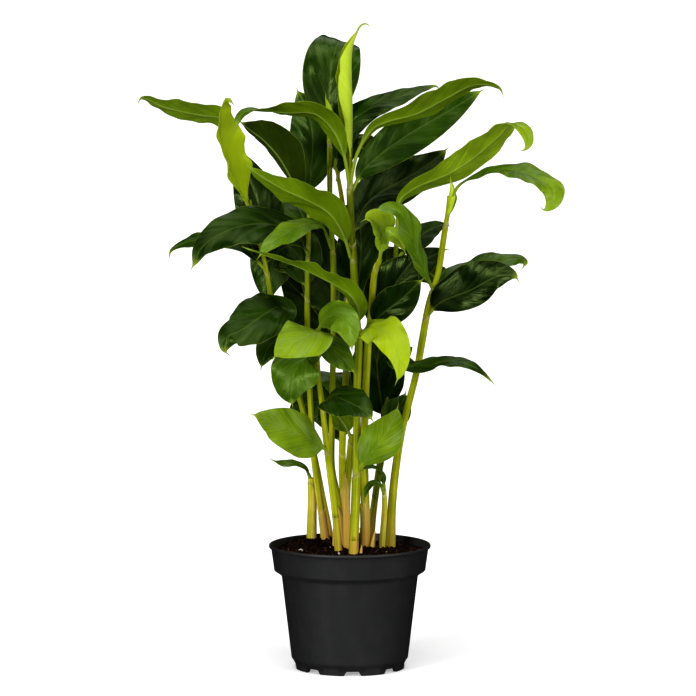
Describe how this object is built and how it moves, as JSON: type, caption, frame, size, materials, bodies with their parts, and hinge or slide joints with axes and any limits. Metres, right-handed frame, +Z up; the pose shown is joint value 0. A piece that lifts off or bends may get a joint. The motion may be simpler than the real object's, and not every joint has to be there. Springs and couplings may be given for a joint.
{
  "type": "potted cardamom plant",
  "caption": "Cardamom plant with long arching leaves on upright cane-like shoots, standing in soil in a black round nursery pot.",
  "frame": {"origin": "centre of the pot's foot, on the plane that it stands on", "axes": "+Z up along the pot's axis, +Y away from the viewer, +X to the viewer's right"},
  "size_m": [0.3399, 0.181, 0.5173],
  "materials": {
    "pot": "black moulded plastic with a soft sheen",
    "soil": "dark crumbly potting soil with bits of bark",
    "shoot": "glossy green leaves and yellow-green stems"
  },
  "bodies": {
    "root": {"pot": "pot", "soil": "soil", "shoot_main": "shoot", "shoot_right_tall": "shoot", "shoot_centre_right": "shoot", "shoot_front_left": "shoot", "shoot_upright": "shoot", "shoot_left_inner": "shoot", "shoot_left_outer": "shoot", "shoot_back_right": "shoot", "shoot_back": "shoot", "shoot_low_centre": "shoot", "shoot_short_left": "shoot", "shoot_short_right": "shoot"}
  },
  "joints": []
}
